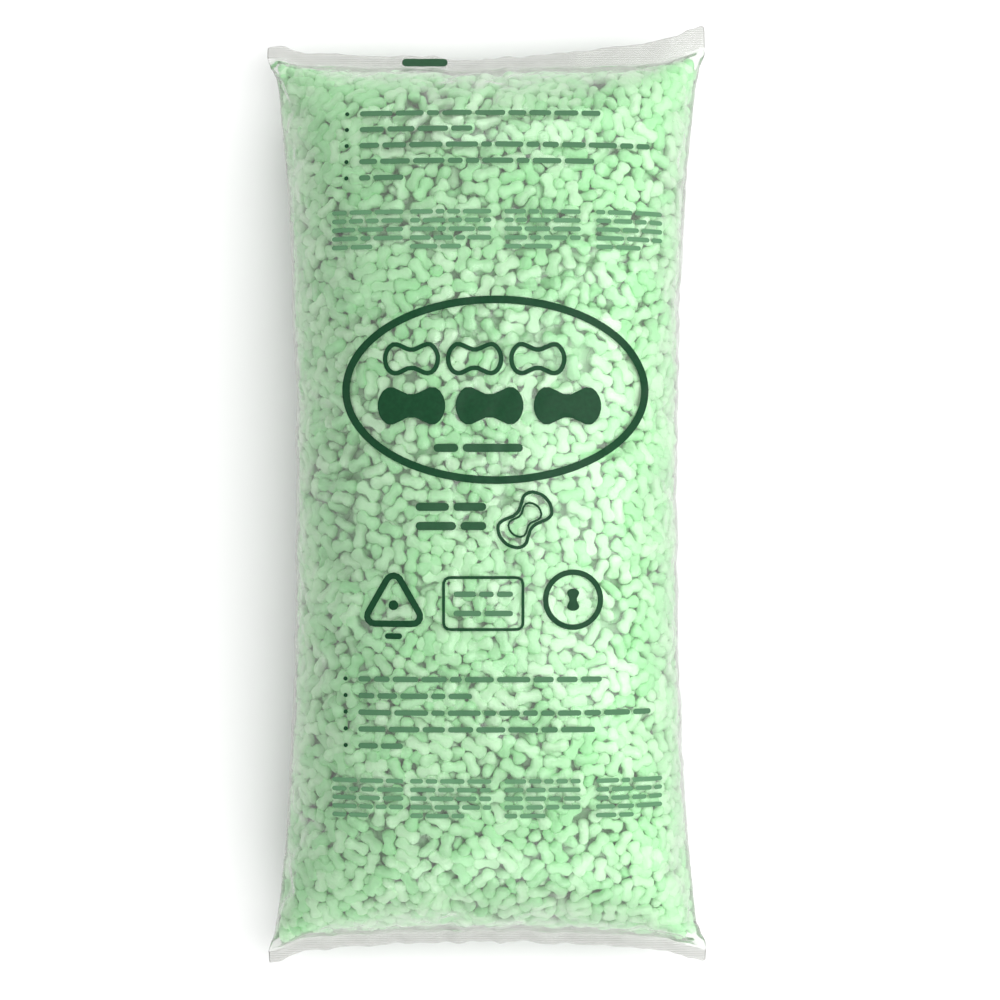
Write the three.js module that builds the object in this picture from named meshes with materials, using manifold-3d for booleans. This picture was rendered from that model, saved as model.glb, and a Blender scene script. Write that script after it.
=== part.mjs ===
// A bag of loose-fill packing peanuts, lying on its back as it comes to rest.
//
// The bag is one length of blown polythene tube, welded flat across both ends.
// Its printed face looks up (+Z), its length runs along Y and its width along X.
// The origin is on the floor, under the middle of the bag. Sizes are in millimetres.
//
// Every surface of the bag is one map from a pair (u, t) to a point: u runs across
// the bag from -1 to 1, and t runs along it from one weld to the other, -1 to 1.
import * as THREE from "three";
import { mergeVertices } from "three/addons/utils/BufferGeometryUtils.js";
import Module from "manifold-3d";

const wasm = await Module();
wasm.setup();

// ---- The filled bag ----
const LENGTH = 1550; // from corner tip to corner tip
const WAIST_WIDTH = 652; // the filled tube half-way along
const END_WIDTH = 742; // across the welded ends, drawn in from the lay-flat width
const FLARE_POWER = 2.6; // how late the width opens out towards the ends
const HEM_DEPTH = 22; // the flat weld band across each end
const EAR_REACH = 26; // how far each corner stands past the middle of its weld
const EAR_POWER = 6; // the bow of the weld dies away this fast along the bag
const FILM = 0.5; // thickness of the modelled film

const CROWN = 186; // from the widest line up to the printed face
const BELLY = 178; // from the widest line down to the underside, before the floor flattens it
const WIDEST_HEIGHT = 160; // height of the widest line over the floor, half-way along
const HEM_HEIGHT = 118; // the same line where it meets the welds, a little lower
const HEM_DROOP = 9; // how far the free edge of the weld band sinks
const END_POWER = 5; // how late along its length the bag starts to thin
const END_ROUND = 0.56; // and how roundly it comes down to the welds
const SECTION_POWER = 2.3; // how full the section is across its width
const SECTION_ROUND = 0.47; // a rounded side half-way along the bag
const EAR_SHARPEN = 0.4; // added to it at the welds, where the sides come to thin ears

const ACROSS = { count: 22, crowding: 0.85 }; // panels over the width of one face
const ALONG = { count: 30, crowding: 0.8 }; // panels from weld to weld

// ---- What fills it ----
const FILL_GAP = 1; // between the film and the mass of peanuts
const PEANUT = { length: 44, width: 26, thickness: 15, edge: 4, sides: 14 };
const LOBES = { plump: 1.4, pinch: 0.6, pinchPower: 6 }; // what makes it a figure eight
const PEANUT_BEND = 3; // its two lobes curl up by this much
const PEANUT_DISH = 1.2; // its long edges curl down by this much
const PEANUT_COUNT = 44; // chips of the outer layer that are modelled one by one
const PEANUT_UNDER = 1.8; // from the film down to the highest point of such a chip
const PEANUT_CLEAR = 2.8; // room round each chip in the mass of the others
const POCKET_HEIGHT = 28; // from the floor of that room to a little above the film
const SPREAD = { across: 0.76, along: 0.84 }; // the part of the face they lie under
const ACROSS_STEP = 0.7548777; // an irrational share of the width, so that none line up
const TURN_STEP = 2.4; // radians from one chip to the next, close to the golden angle

// ---- Air vents punched in the film ----
const VENT = { diameter: 6, sides: 8, across: 0.66, along: 0.8 };

const MERGE = 1e-3; // points closer than this are one point
const STEP = 1e-3; // the small step in u or t that gives a direction on the film

const weldY = LENGTH / 2 - HEM_DEPTH - EAR_REACH; // the middle of a weld, from the centre

const film = new THREE.MeshStandardMaterial({
  name: "film",
  color: 0xdfe9e1,
  roughness: 0.2,
  metalness: 0,
  transparent: true,
  opacity: 0.35,
});
const foam = new THREE.MeshStandardMaterial({
  name: "foam",
  color: 0xb4e0b5,
  roughness: 0.85,
  metalness: 0,
});

// ---- The shape of the bag ----

function halfWidth(t) {
  const flare = Math.abs(t) ** FLARE_POWER;
  return (WAIST_WIDTH + (END_WIDTH - WAIST_WIDTH) * flare) / 2;
}

// The height of the widest line, which sinks towards the welds.
function widestHeight(t) {
  return HEM_HEIGHT + (WIDEST_HEIGHT - HEM_HEIGHT) * (1 - t * t);
}

// How full the bag is at (u, t), from 0 at its sides and welds to 1 at its middle.
function fullness(u, t) {
  const lengthwise = Math.max(0, 1 - Math.abs(t) ** END_POWER) ** END_ROUND;
  const sharpness = SECTION_ROUND + EAR_SHARPEN * Math.abs(t) ** END_POWER;
  return lengthwise * Math.max(0, 1 - Math.abs(u) ** SECTION_POWER) ** sharpness;
}

// A point of a bag surface: face is 1 for the printed face and -1 for the underside,
// and inset is the distance in from the film's outer surface.
function bagPoint(u, t, face, inset) {
  const middle = widestHeight(t);
  const full = fullness(u, t);
  const bow = EAR_REACH * u * u * Math.abs(t) ** EAR_POWER;
  const raised = middle + CROWN * full + FILM - inset;
  const lowered = Math.max(inset, middle - BELLY * full - FILM + inset);
  return new THREE.Vector3(
    u * (halfWidth(t) + FILM - inset),
    t * (weldY + FILM - inset + bow),
    face > 0 ? raised : Math.min(lowered, middle + FILM),
  );
}

// The free edge of the weld band, past t = 1 or t = -1.
function hemPoint(u, end, face) {
  const point = bagPoint(u, end, face, 0);
  point.y += end * HEM_DEPTH;
  point.z -= HEM_DROOP;
  return point;
}

// Values from -1 to 1, crowded towards the ends, where the film turns over.
function spaced({ count, crowding }) {
  return Array.from({ length: count + 1 }, (_, i) => {
    const even = (2 * i) / count - 1;
    return THREE.MathUtils.lerp(even, Math.sin((even * Math.PI) / 2), crowding);
  });
}

// A closed surface from an upper and a lower grid of points of the same size. A strip
// joins their edges, and where the two grids meet in the same points it vanishes.
function closedGrids(upper, lower) {
  const rows = upper.length;
  const columns = upper[0].length;
  const positions = [...upper.flat(), ...lower.flat()].flatMap((p) => [p.x, p.y, p.z]);
  const top = (row, column) => row * columns + column;
  const bottom = (row, column) => rows * columns + row * columns + column;
  const index = [];
  const quad = (a, b, c, d) => index.push(a, b, c, a, c, d);
  for (let r = 0; r < rows - 1; r++) {
    for (let c = 0; c < columns - 1; c++) {
      quad(top(r, c), top(r, c + 1), top(r + 1, c + 1), top(r + 1, c));
      quad(bottom(r, c), bottom(r + 1, c), bottom(r + 1, c + 1), bottom(r, c + 1));
    }
  }
  for (let r = 0; r < rows - 1; r++) {
    const last = columns - 1;
    quad(bottom(r, 0), top(r, 0), top(r + 1, 0), bottom(r + 1, 0));
    quad(top(r, last), bottom(r, last), bottom(r + 1, last), top(r + 1, last));
  }
  for (let c = 0; c < columns - 1; c++) {
    const last = rows - 1;
    quad(bottom(0, c), bottom(0, c + 1), top(0, c + 1), top(0, c));
    quad(top(last, c), top(last, c + 1), bottom(last, c + 1), bottom(last, c));
  }
  const geometry = new THREE.BufferGeometry();
  geometry.setAttribute("position", new THREE.Float32BufferAttribute(positions, 3));
  geometry.setIndex(index);
  return geometry;
}

// ---- Cutting ----

// A closed geometry, placed by a matrix, as a solid that can be cut.
function solidOf(geometry, matrix = new THREE.Matrix4()) {
  const bare = geometry.index ? geometry.toNonIndexed() : geometry.clone();
  bare.deleteAttribute("normal");
  bare.deleteAttribute("uv");
  const merged = mergeVertices(bare.applyMatrix4(matrix), MERGE);
  const corners = merged.index.array;
  const triangles = [];
  for (let i = 0; i < corners.length; i += 3) {
    const [a, b, c] = corners.slice(i, i + 3);
    if (a !== b && b !== c && c !== a) triangles.push(a, b, c);
  }
  const mesh = new wasm.Mesh({
    numProp: 3,
    vertProperties: merged.attributes.position.array,
    triVerts: new Uint32Array(triangles),
  });
  mesh.merge();
  return new wasm.Manifold(mesh);
}

function geometryOf(solid) {
  const { vertProperties, triVerts } = solid.getMesh();
  const geometry = new THREE.BufferGeometry();
  geometry.setAttribute("position", new THREE.BufferAttribute(vertProperties, 3));
  geometry.setIndex(new THREE.BufferAttribute(triVerts, 1));
  return geometry;
}

// The place just under the printed face at (u, t), at a depth below the film, with
// +Z out of the bag and +X turned by an angle in the face.
function placeUnderFace(u, t, depth, turn) {
  const here = bagPoint(u, t, 1, FILM);
  const acrossFace = bagPoint(u + STEP, t, 1, FILM).sub(here).normalize();
  const alongFace = bagPoint(u, t + STEP, 1, FILM).sub(here).normalize();
  const out = new THREE.Vector3().crossVectors(acrossFace, alongFace).normalize();
  const long = acrossFace.clone().applyAxisAngle(out, turn).normalize();
  const wide = new THREE.Vector3().crossVectors(out, long);
  const place = new THREE.Matrix4().makeBasis(long, wide, out);
  return place.setPosition(here.addScaledVector(out, -depth));
}

// ---- The film bag ----

function filmBag() {
  const us = spaced(ACROSS);
  const ts = spaced(ALONG);
  const outerFace = (face) => [
    us.map((u) => hemPoint(u, -1, face)),
    ...ts.map((t) => us.map((u) => bagPoint(u, t, face, 0))),
    us.map((u) => hemPoint(u, 1, face)),
  ];
  const innerFace = (face) => ts.map((t) => us.map((u) => bagPoint(u, t, face, FILM)));
  const outer = solidOf(closedGrids(outerFace(1), outerFace(-1)));
  const hollow = solidOf(closedGrids(innerFace(1), innerFace(-1)));
  let bag = outer.subtract(hollow);

  // The vents go through the printed face near its corners, and let the air out.
  const punch = new THREE.CylinderGeometry(
    VENT.diameter / 2,
    VENT.diameter / 2,
    VENT.diameter,
    VENT.sides,
  );
  punch.rotateX(Math.PI / 2);
  for (const [side, end] of [[-1, -1], [1, -1], [1, 1], [-1, 1]]) {
    const place = placeUnderFace(side * VENT.across, end * VENT.along, 0, 0);
    bag = bag.subtract(solidOf(punch, place));
  }
  return new THREE.Mesh(geometryOf(bag), film);
}

// ---- The peanuts ----

// One peanut: a slice of a foam strand with a figure-eight section, its edges rounded
// and the whole chip slightly curled, lying along X with its flat faces up and down.
function peanutGeometry() {
  const outline = new THREE.Shape();
  for (let i = 0; i < PEANUT.sides; i++) {
    const angle = ((i + 0.5) / PEANUT.sides) * 2 * Math.PI;
    const sine = Math.sin(angle);
    const waist = 1 - LOBES.pinch * sine ** LOBES.pinchPower;
    const x = (PEANUT.length / 2) * Math.cos(angle);
    const y = (PEANUT.width / 2) * LOBES.plump * sine * waist;
    if (i === 0) outline.moveTo(x, y);
    else outline.lineTo(x, y);
  }
  outline.closePath();
  const geometry = new THREE.ExtrudeGeometry(outline, {
    depth: PEANUT.thickness - 2 * PEANUT.edge,
    bevelThickness: PEANUT.edge,
    bevelSize: PEANUT.edge,
    bevelOffset: -PEANUT.edge,
    bevelSegments: 1,
    steps: 1,
  });
  geometry.translate(0, 0, PEANUT.edge - PEANUT.thickness / 2);
  const position = geometry.attributes.position;
  for (let i = 0; i < position.count; i++) {
    const alongChip = position.getX(i) / (PEANUT.length / 2);
    const acrossChip = position.getY(i) / (PEANUT.width / 2);
    const curl = PEANUT_BEND * alongChip ** 2 - PEANUT_DISH * acrossChip ** 2;
    position.setZ(i, position.getZ(i) + curl);
  }
  return geometry;
}

// Where each of the single peanuts lies: spread evenly over the face, turned every way.
function peanutPlaces() {
  const depth = PEANUT.thickness / 2 + PEANUT_BEND + PEANUT_UNDER;
  return Array.from({ length: PEANUT_COUNT }, (_, i) => {
    const u = SPREAD.across * (2 * ((0.5 + ACROSS_STEP * i) % 1) - 1);
    const t = SPREAD.along * (2 * ((i + 0.5) / PEANUT_COUNT) - 1);
    return placeUnderFace(u, t, depth, TURN_STEP * i);
  });
}

// The room that a single peanut takes in the mass of the others, open to the film.
function pocketGeometry() {
  const radius = PEANUT.width / 2 + PEANUT_CLEAR;
  const reach = PEANUT.length / 2 + PEANUT_CLEAR - radius;
  const outline = new THREE.Shape();
  outline.absarc(reach, 0, radius, -Math.PI / 2, Math.PI / 2);
  outline.absarc(-reach, 0, radius, Math.PI / 2, (3 * Math.PI) / 2);
  const floor = PEANUT.thickness / 2 + PEANUT_DISH + PEANUT_CLEAR;
  const geometry = new THREE.ExtrudeGeometry(outline, {
    depth: POCKET_HEIGHT,
    bevelEnabled: false,
    curveSegments: 4,
  });
  return geometry.translate(0, 0, -floor);
}

// The mass of all the other peanuts. It follows the film, one panel short of the
// sides and the welds, where the bag is too thin for a peanut.
function looseFill(places) {
  const us = spaced(ACROSS).slice(1, -1);
  const ts = spaced(ALONG).slice(1, -1);
  const face = (side) => ts.map((t) => us.map((u) => bagPoint(u, t, side, FILM + FILL_GAP)));
  let fill = solidOf(closedGrids(face(1), face(-1)));
  const pocket = pocketGeometry();
  for (const place of places) fill = fill.subtract(solidOf(pocket, place));
  return new THREE.Mesh(geometryOf(fill), foam);
}

// ---- Assembly ----

const bag = new THREE.Group();

const shell = filmBag();
shell.name = "film_bag";
bag.add(shell);

const places = peanutPlaces();
const mass = looseFill(places);
mass.name = "loose_fill";
bag.add(mass);

const chip = peanutGeometry();
places.forEach((place, i) => {
  const peanut = new THREE.Mesh(chip, foam);
  peanut.name = `peanut_${String(i + 1).padStart(2, "0")}`;
  peanut.applyMatrix4(place);
  bag.add(peanut);
});

export default bag;
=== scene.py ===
"""A clear film bag of loose-fill packing peanuts, lying on its back in a pale studio.

The film, its welds and its print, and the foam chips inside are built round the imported
frame. All lengths are in metres, +Z is up and +Y runs to the bag's top end.
"""

import logging
import math
from collections.abc import Iterable
from dataclasses import dataclass, field
from enum import Enum

import bmesh
import bpy
import numpy as np
from mathutils import Matrix, Vector
from mathutils.bvhtree import BVHTree


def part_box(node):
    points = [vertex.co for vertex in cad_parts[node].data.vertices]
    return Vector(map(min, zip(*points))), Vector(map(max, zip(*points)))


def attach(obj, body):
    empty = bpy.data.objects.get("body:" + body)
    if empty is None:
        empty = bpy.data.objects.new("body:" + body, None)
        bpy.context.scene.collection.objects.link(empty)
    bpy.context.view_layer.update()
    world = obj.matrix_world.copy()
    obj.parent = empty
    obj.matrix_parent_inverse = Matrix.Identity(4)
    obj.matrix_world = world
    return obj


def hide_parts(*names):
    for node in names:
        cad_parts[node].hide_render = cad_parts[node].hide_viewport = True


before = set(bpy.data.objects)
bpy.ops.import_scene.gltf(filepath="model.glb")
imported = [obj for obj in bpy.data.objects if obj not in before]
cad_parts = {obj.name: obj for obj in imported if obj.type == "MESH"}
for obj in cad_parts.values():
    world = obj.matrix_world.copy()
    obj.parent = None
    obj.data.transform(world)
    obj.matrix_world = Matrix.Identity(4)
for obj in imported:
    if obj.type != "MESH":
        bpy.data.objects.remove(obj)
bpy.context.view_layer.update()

LOG = logging.getLogger("packing_peanut_bag")
BODY = "root"

Colour = tuple[float, float, float]

# The distance from one band to the next of a wave texture whose scale is one.
WAVE_PITCH = 0.314


# --------------------------------------------------------------------------------------
# Small tools
# --------------------------------------------------------------------------------------


def new_object(name: str, mesh: bpy.types.Mesh) -> bpy.types.Object:
    """Puts a mesh in the scene.

    Args:
        name: The object's name.
        mesh: Its mesh.

    Returns:
        The new object, at the origin.
    """
    mesh.name = name
    obj = bpy.data.objects.new(name, mesh)
    bpy.context.scene.collection.objects.link(obj)
    return obj


def mesh_from(name: str, points: np.ndarray, faces: Iterable) -> bpy.types.Mesh:
    """Makes a mesh from points and faces.

    Args:
        name: The mesh's name.
        points: One row of x, y, z for each vertex.
        faces: Lists of vertex numbers.

    Returns:
        The mesh, shaded smooth.
    """
    mesh = bpy.data.meshes.new(name)
    mesh.from_pydata(np.asarray(points).tolist(), [], [list(map(int, f)) for f in faces])
    mesh.update()
    mesh.shade_smooth()
    return mesh


def vertex_values(mesh: bpy.types.Mesh, what: str) -> np.ndarray:
    """Reads a vector of every vertex.

    Args:
        mesh: The mesh to read.
        what: "co" for places or "normal" for normals.

    Returns:
        One row of x, y, z for each vertex.
    """
    values = np.empty(len(mesh.vertices) * 3, np.float32)
    mesh.vertices.foreach_get(what, values)
    return values.reshape(-1, 3).astype(float)


def store_values(mesh: bpy.types.Mesh, name: str, values: np.ndarray) -> None:
    """Stores a number or a vector on every vertex.

    Args:
        mesh: The mesh to write to.
        name: The attribute's name.
        values: One number, or one row of three, for each vertex.
    """
    flat = np.asarray(values, np.float32)
    kind, key = ("FLOAT", "value") if flat.ndim == 1 else ("FLOAT_VECTOR", "vector")
    mesh.attributes.new(name, kind, "POINT").data.foreach_set(key, flat.ravel())


def settled(obj: bpy.types.Object) -> bpy.types.Object:
    """Turns an object's modifiers into plain mesh.

    Args:
        obj: The object with modifiers.

    Returns:
        The same object, with no modifiers left.
    """
    depsgraph = bpy.context.evaluated_depsgraph_get()
    mesh = bpy.data.meshes.new_from_object(obj.evaluated_get(depsgraph))
    obj.modifiers.clear()
    old, obj.data = obj.data, mesh
    bpy.data.meshes.remove(old)
    mesh.name = obj.name
    return obj


def unit(vectors: np.ndarray) -> np.ndarray:
    """Scales each row to length one."""
    length = np.linalg.norm(vectors, axis=-1, keepdims=True)
    return vectors / np.maximum(length, 1e-12)


def tube_faces(number: np.ndarray) -> list:
    """Joins each ring of points to the next.

    Args:
        number: The points' numbers, one row for each ring.

    Returns:
        The four-sided faces.
    """
    after = np.roll(number, -1, axis=1)
    quads = np.stack([number[:-1], after[:-1], after[1:], number[1:]], -1)
    return quads.reshape(-1, 4).tolist()


class Graph:
    """A node tree, built node by node."""

    def __init__(self, tree: bpy.types.NodeTree) -> None:
        """Takes the tree to build in.

        Args:
            tree: A node tree, which is emptied.
        """
        self.tree = tree
        tree.nodes.clear()

    def add(self, kind: str, inputs: dict | None = None, **settings) -> bpy.types.Node:
        """Adds a node.

        Args:
            kind: The node's type name.
            inputs: Socket names or numbers, each with a value or an output to link.
            **settings: Properties of the node.

        Returns:
            The new node.
        """
        node = self.tree.nodes.new(kind)
        for key, value in settings.items():
            setattr(node, key, value)
        for key, value in (inputs or {}).items():
            if isinstance(value, bpy.types.NodeSocket):
                self.tree.links.new(value, node.inputs[key])
            else:
                node.inputs[key].default_value = value
        return node

    def maths(self, operation: str, *values, clamp: bool = False) -> bpy.types.NodeSocket:
        """Adds a sum on numbers.

        Args:
            operation: The Math node's operation.
            *values: Numbers or sockets.
            clamp: Whether the result is kept from 0 to 1.

        Returns:
            The result.
        """
        inputs = dict(enumerate(values))
        node = self.add("ShaderNodeMath", inputs, operation=operation, use_clamp=clamp)
        return node.outputs[0]

    def noise(
        self, place: bpy.types.NodeSocket, scale: float, detail: float, roughness: float = 0.5
    ) -> bpy.types.NodeSocket:
        """Adds a noise pattern.

        Args:
            place: The coordinates that it follows.
            scale: How fine it is.
            detail: How many finer patterns it holds.
            roughness: How strong the finer ones are.

        Returns:
            The pattern, from 0 to 1.
        """
        inputs = {"Vector": place, "Scale": scale, "Detail": detail, "Roughness": roughness}
        return self.add("ShaderNodeTexNoise", inputs).outputs["Fac"]

    def bump(
        self,
        height: bpy.types.NodeSocket,
        depth: float,
        normal: bpy.types.NodeSocket | None = None,
    ) -> bpy.types.NodeSocket:
        """Adds a relief.

        Args:
            height: The relief's pattern.
            depth: How deep it is.
            normal: A bumped normal that it goes on top of.

        Returns:
            The bumped normal.
        """
        inputs = {"Height": height, "Distance": depth, "Strength": 1.0}
        if normal is not None:
            inputs["Normal"] = normal
        return self.add("ShaderNodeBump", inputs).outputs["Normal"]

    def mix(self, share: bpy.types.NodeSocket, first, second) -> bpy.types.NodeSocket:
        """Mixes two colours.

        Args:
            share: How much of the second there is.
            first: A colour or a socket.
            second: A colour or a socket.

        Returns:
            The mixed colour.
        """
        pair = [c if isinstance(c, bpy.types.NodeSocket) else (*c, 1.0) for c in (first, second)]
        inputs = {0: share, 6: pair[0], 7: pair[1]}
        return self.add("ShaderNodeMix", inputs, data_type="RGBA").outputs[2]

    def stored(self, name: str) -> bpy.types.NodeSocket:
        """Reads a number that is stored on the mesh."""
        return self.add("ShaderNodeAttribute", attribute_name=name).outputs["Fac"]

    def place(self) -> bpy.types.NodeSocket:
        """Reads the piece's own coordinates."""
        return self.add("ShaderNodeTexCoord").outputs["Object"]


def new_material(name: str) -> tuple[bpy.types.Material, Graph]:
    """Starts a material.

    Args:
        name: Its name.

    Returns:
        The material and its nodes, as yet none.
    """
    material = bpy.data.materials.new(name)
    material.use_nodes = True
    return material, Graph(material.node_tree)


def start_tree(name: str, inputs: dict[str, tuple]) -> Graph:
    """Starts a tree of geometry nodes.

    Args:
        name: The tree's name.
        inputs: Input names, each with its kind and its value, None where it has none.

    Returns:
        The tree's nodes, as yet none.
    """
    tree = bpy.data.node_groups.new(name, "GeometryNodeTree")
    face = tree.interface
    face.new_socket("Geometry", in_out="INPUT", socket_type="NodeSocketGeometry")
    for label, (kind, value) in inputs.items():
        socket = face.new_socket(label, in_out="INPUT", socket_type=f"NodeSocket{kind}")
        if value is not None:
            socket.default_value = value
    face.new_socket("Geometry", in_out="OUTPUT", socket_type="NodeSocketGeometry")
    return Graph(tree)


def end_tree(
    graph: Graph, geometry: bpy.types.NodeSocket, finish: bpy.types.NodeSocket
) -> bpy.types.GeometryNodeTree:
    """Ends a tree: its copies become real and take their finish.

    Args:
        graph: The tree's nodes.
        geometry: What the tree has made.
        finish: The material.

    Returns:
        The tree.
    """
    real = graph.add("GeometryNodeRealizeInstances", {0: geometry})
    inputs = {"Geometry": real.outputs[0], "Material": finish}
    finished = graph.add("GeometryNodeSetMaterial", inputs)
    graph.add("NodeGroupOutput", {0: finished.outputs[0]})
    return graph.tree


# --------------------------------------------------------------------------------------
# Finishes
# --------------------------------------------------------------------------------------


@dataclass(frozen=True)
class FilmFinish:
    """Thin clear polythene: see-through face on, milky at a glance, and glossy."""

    clear: Colour = (0.955, 0.965, 0.95)
    milk: Colour = (0.50, 0.50, 0.475)
    milk_roughness: float = 0.45
    gloss_roughness: float = 0.15
    gloss: float = 1.0
    ior: float = 1.5
    haze: float = 0.075
    glance: float = 0.82
    glance_power: float = 2.4
    weld_haze: float = 0.28
    crinkle_scale: float = 46.0
    crinkle_depth: float = 0.0011
    crimp_pitch: float = 0.0032
    crimp_depth: float = 0.0005

    def _relief(self, graph: Graph, weld: bpy.types.NodeSocket) -> bpy.types.NodeSocket:
        """Adds the fine crinkles of the film and the crimped lines of its welds.

        Args:
            graph: The material's nodes.
            weld: 1 on a weld band and 0 elsewhere.

        Returns:
            The bumped normal.
        """
        place = graph.place()
        crinkle = graph.noise(place, self.crinkle_scale, detail=4.0, roughness=0.55)
        soft = graph.bump(crinkle, self.crinkle_depth)
        lines = graph.add(
            "ShaderNodeTexWave",
            {"Vector": place, "Scale": WAVE_PITCH / self.crimp_pitch, "Distortion": 0.4},
            bands_direction="Y",
        )
        height = graph.maths("MULTIPLY", lines.outputs["Fac"], weld)
        return graph.bump(height, self.crimp_depth, soft)

    def material(self) -> bpy.types.Material:
        """Builds the material.

        Returns:
            Clear film with a milky layer under a gloss.
        """
        material, graph = new_material("clear_film")
        weld = graph.stored("weld")
        normal = self._relief(graph, weld)
        clear = graph.add("ShaderNodeBsdfTransparent", {"Color": (*self.clear, 1.0)})
        milk = graph.add(
            "ShaderNodeBsdfPrincipled",
            {
                "Base Color": (*self.milk, 1.0),
                "Roughness": self.milk_roughness,
                "IOR": self.ior,
                "Normal": normal,
            },
        )
        glance = graph.add("ShaderNodeLayerWeight", {"Blend": 0.5})
        edge = graph.maths("POWER", glance.outputs["Facing"], self.glance_power)
        edge = graph.maths("MULTIPLY_ADD", edge, self.glance, self.haze)
        share = graph.maths("MULTIPLY_ADD", weld, self.weld_haze, edge, clamp=True)
        body = graph.add(
            "ShaderNodeMixShader", {0: share, 1: clear.outputs[0], 2: milk.outputs[0]}
        )
        mirror = graph.add(
            "ShaderNodeBsdfGlossy", {"Roughness": self.gloss_roughness, "Normal": normal}
        )
        fresnel = graph.add("ShaderNodeFresnel", {"IOR": self.ior, "Normal": normal})
        strength = graph.maths("MULTIPLY", fresnel.outputs[0], self.gloss, clamp=True)
        whole = graph.add(
            "ShaderNodeMixShader", {0: strength, 1: body.outputs[0], 2: mirror.outputs[0]}
        )
        graph.add("ShaderNodeOutputMaterial", {"Surface": whole.outputs[0]})
        return material


@dataclass(frozen=True)
class FoamFinish:
    """Expanded mint-green foam with fine cells, each chip a little lighter or darker."""

    light: Colour = (0.67, 0.94, 0.66)
    dark: Colour = (0.32, 0.79, 0.35)
    roughness: float = 0.72
    cell_scale: float = 520.0
    cell_depth: float = 0.0006
    lump_scale: float = 150.0
    lump_depth: float = 0.0016
    mottle_scale: float = 90.0
    mottle: float = 0.5

    def material(self) -> bpy.types.Material:
        """Builds the material.

        Returns:
            Foam whose colour follows the chips' stored shade.
        """
        material, graph = new_material("mint_foam")
        place = graph.place()
        cells = graph.add(
            "ShaderNodeTexVoronoi", {"Vector": place, "Scale": self.cell_scale}
        )
        mottle = graph.noise(place, self.mottle_scale, detail=4.0)
        lightness = graph.maths("MULTIPLY_ADD", mottle, self.mottle, -self.mottle / 2)
        lightness = graph.maths("ADD", lightness, graph.stored("shade"), clamp=True)
        colour = graph.mix(lightness, self.dark, self.light)
        lumps = graph.noise(place, self.lump_scale, detail=2.0)
        lumpy = graph.bump(lumps, self.lump_depth)
        bumped = graph.bump(cells.outputs["Distance"], self.cell_depth, lumpy)
        surface = graph.add(
            "ShaderNodeBsdfPrincipled",
            {
                "Base Color": colour,
                "Roughness": self.roughness,
                "Normal": bumped,
            },
        )
        graph.add("ShaderNodeOutputMaterial", {"Surface": surface.outputs[0]})
        return material


@dataclass(frozen=True)
class InkFinish:
    """Dark green flexographic ink, a little patchy, and fainter where the print is small."""

    deep: Colour = (0.001, 0.021, 0.007)
    thin: Colour = (0.004, 0.046, 0.015)
    faint: Colour = (0.072, 0.170, 0.088)
    roughness: float = 0.45
    shine: float = 0.12
    patch_scale: float = 160.0

    def material(self) -> bpy.types.Material:
        """Builds the material.

        Returns:
            Opaque ink with a faint mottle.
        """
        material, graph = new_material("green_ink")
        patches = graph.noise(graph.place(), self.patch_scale, detail=3.0)
        colour = graph.mix(patches, self.deep, self.thin)
        colour = graph.mix(graph.stored("cover"), self.faint, colour)
        surface = graph.add(
            "ShaderNodeBsdfPrincipled",
            {
                "Base Color": colour,
                "Roughness": self.roughness,
                "Specular IOR Level": self.shine,
            },
        )
        graph.add("ShaderNodeOutputMaterial", {"Surface": surface.outputs[0]})
        return material


# --------------------------------------------------------------------------------------
# The bag's form
# --------------------------------------------------------------------------------------


@dataclass(frozen=True)
class PillowForm:
    """The filled bag: a map from (u, t), across and along it, to a point on its film."""

    length: float
    end_width: float
    waist_share: float = 652 / 742
    hem: float = 0.022
    flap: float = 0.018
    ear_reach: float = 0.026
    low_ear: float = 0.6
    ear_power: float = 6.0
    flare_power: float = 2.6
    crown: float = 0.186
    belly: float = 0.178
    widest_height: float = 0.160
    hem_height: float = 0.118
    end_power: float = 5.0
    end_round: float = 0.56
    section_power: float = 2.3
    section_round: float = 0.47
    ear_sharpen: float = 0.40
    floor_round: float = 0.014

    @property
    def weld_y(self) -> float:
        """Distance of the middle of a weld from the bag's centre."""
        return self.length / 2 - self.hem - self.ear_reach

    def point(self, u: np.ndarray, t: np.ndarray, face: int) -> np.ndarray:
        """Finds points on the bag.

        Args:
            u: Across the bag, -1 to 1.
            t: Along the bag, -1 at the bottom weld to 1 at the top one.
            face: 1 for the printed face and -1 for the underside.

        Returns:
            One row of x, y, z for each pair.
        """
        u, t = np.broadcast_arrays(np.asarray(u, float), np.asarray(t, float))
        far, side = np.abs(t), np.abs(u)
        flare = self.waist_share + (1 - self.waist_share) * far**self.flare_power
        lengthwise = np.maximum(0, 1 - far**self.end_power) ** self.end_round
        sharp = self.section_round + self.ear_sharpen * far**self.end_power
        full = lengthwise * np.maximum(0, 1 - side**self.section_power) ** sharp
        middle = self.hem_height + (self.widest_height - self.hem_height) * (1 - t * t)
        x = u * self.end_width / 2 * flare
        ears = np.where((t > 0) & (u < 0), self.low_ear, 1.0) * self.ear_reach
        y = t * (self.weld_y + ears * u * u * far**self.ear_power)
        if face > 0:
            z = middle + self.crown * full
        else:
            z = middle - self.belly * full
            z = (z + np.sqrt(z * z + (self.floor_round * full) ** 2)) / 2
        return np.stack([x, y, z], -1)


def evenly(points: np.ndarray, keys: np.ndarray, count: int) -> np.ndarray:
    """Spaces keys evenly by arc length.

    Args:
        points: Points along a curve.
        keys: The curve's key at each point.
        count: How many gaps to make.

    Returns:
        count + 1 keys.
    """
    gaps = np.linalg.norm(np.diff(points, axis=0), axis=1)
    walked = np.concatenate([[0.0], np.cumsum(gaps)])
    return np.interp(np.linspace(0, walked[-1], count + 1), walked, keys)


# --------------------------------------------------------------------------------------
# The film
# --------------------------------------------------------------------------------------


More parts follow.
